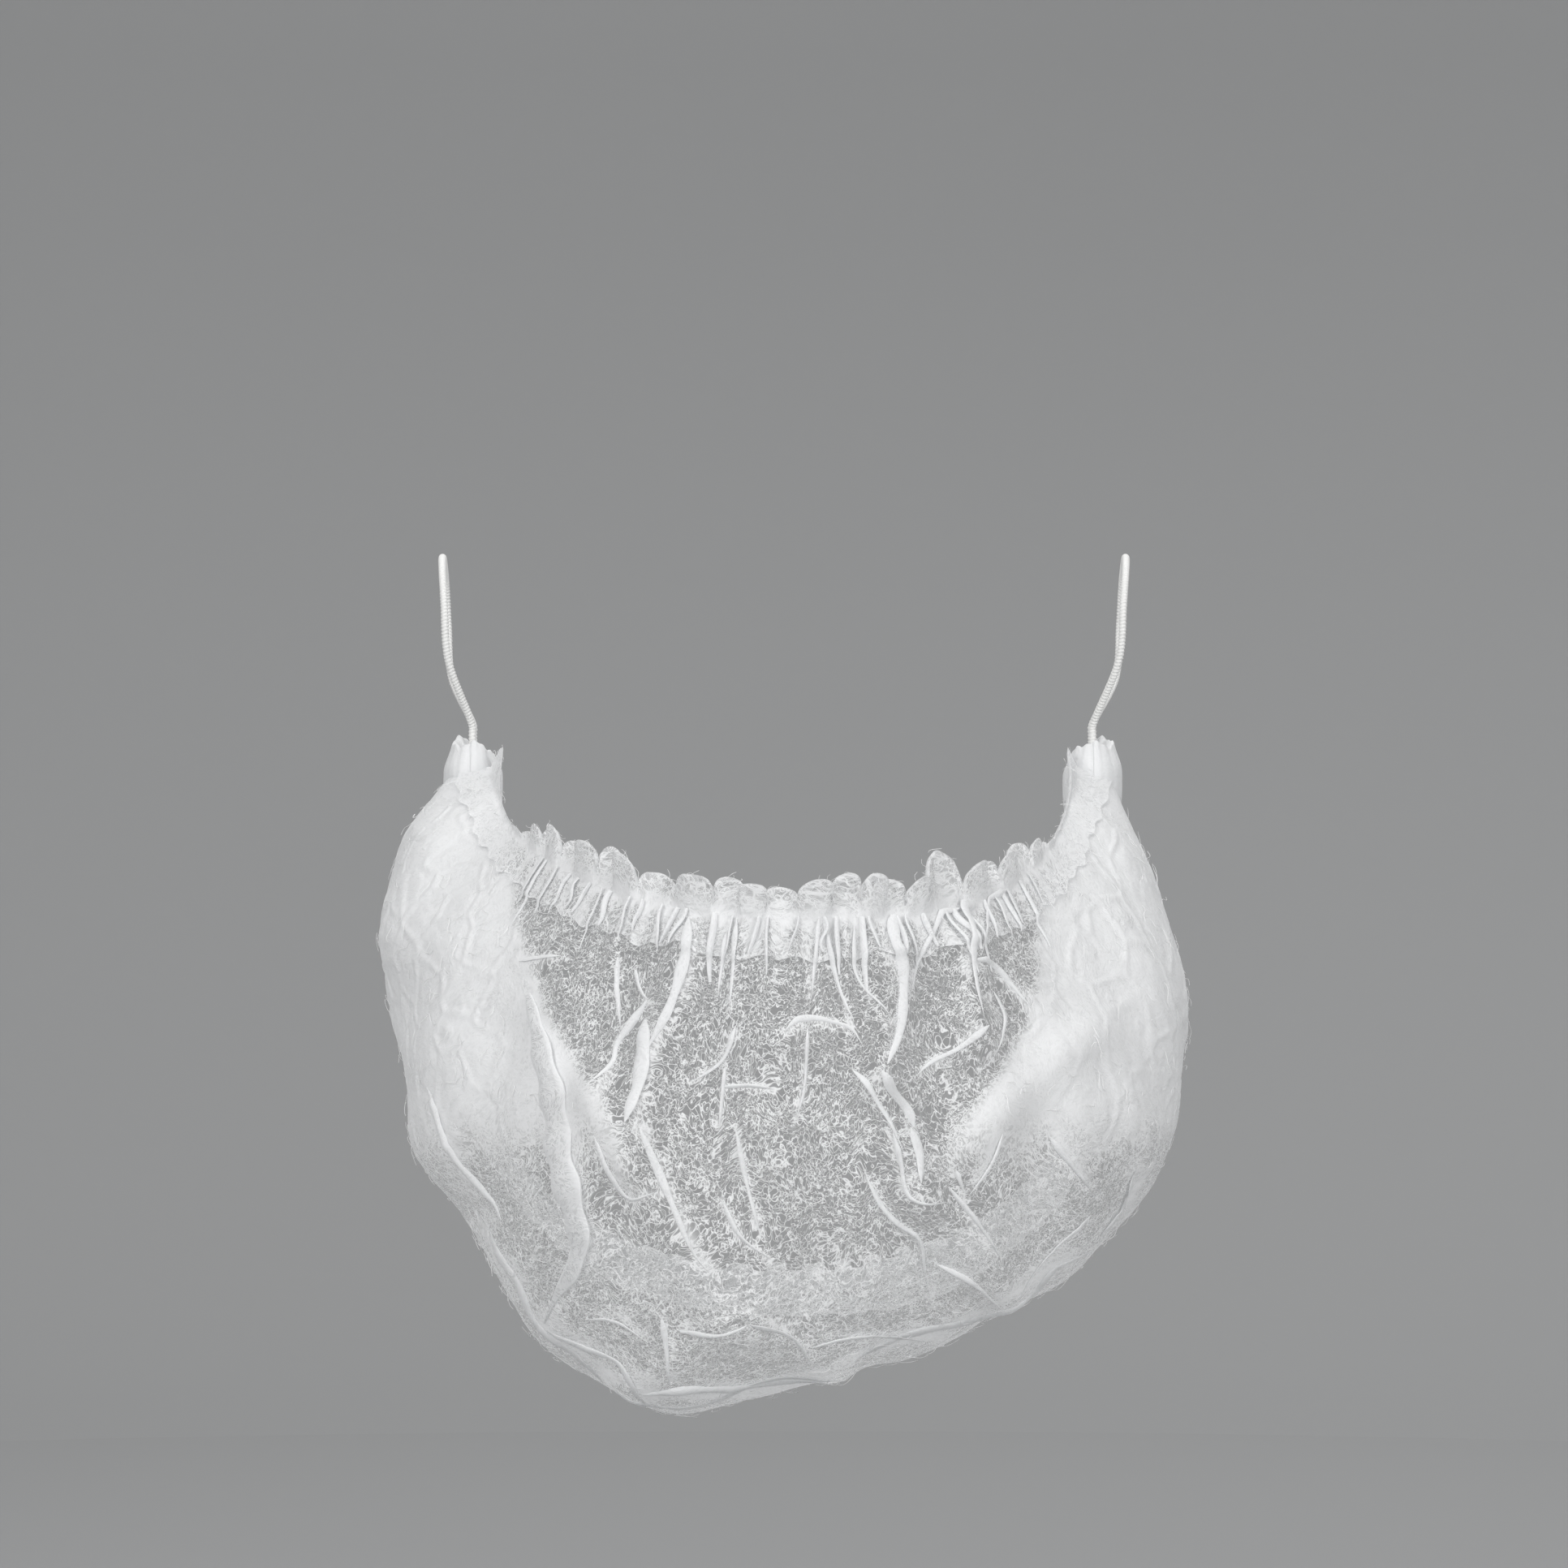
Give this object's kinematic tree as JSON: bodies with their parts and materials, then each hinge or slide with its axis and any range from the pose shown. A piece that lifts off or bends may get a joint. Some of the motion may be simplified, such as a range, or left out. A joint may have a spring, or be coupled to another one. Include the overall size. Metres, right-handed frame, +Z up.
{
  "type": "disposable beard net",
  "caption": "Gathered see-through nonwoven bag worn over the chin and beard, with elastic hems and a round elastic loop for each ear.",
  "frame": {"origin": "midway between the tops of the two ear loops, where the ears carry the net", "axes": "+Z up, -Y the way the face looks, +X to the right of the picture, so towards the wearer's left ear"},
  "size_m": [0.1647, 0.134, 0.1715],
  "materials": {
    "pouch_cloth": "thin white nonwoven, see-through between fine crossing fibres",
    "hem_cloth": "the same nonwoven folded double and gathered",
    "gathered_cloth": "nonwoven gathered and bonded in many layers",
    "knitted_elastic": "white knitted round elastic with fine ribs"
  },
  "bodies": {
    "root": {"pouch": "pouch_cloth", "front_hem": "hem_cloth", "back_hem": "hem_cloth", "corner_gather_left": "gathered_cloth", "corner_gather_right": "gathered_cloth", "ear_loop_left": "knitted_elastic", "ear_loop_right": "knitted_elastic"}
  },
  "joints": []
}
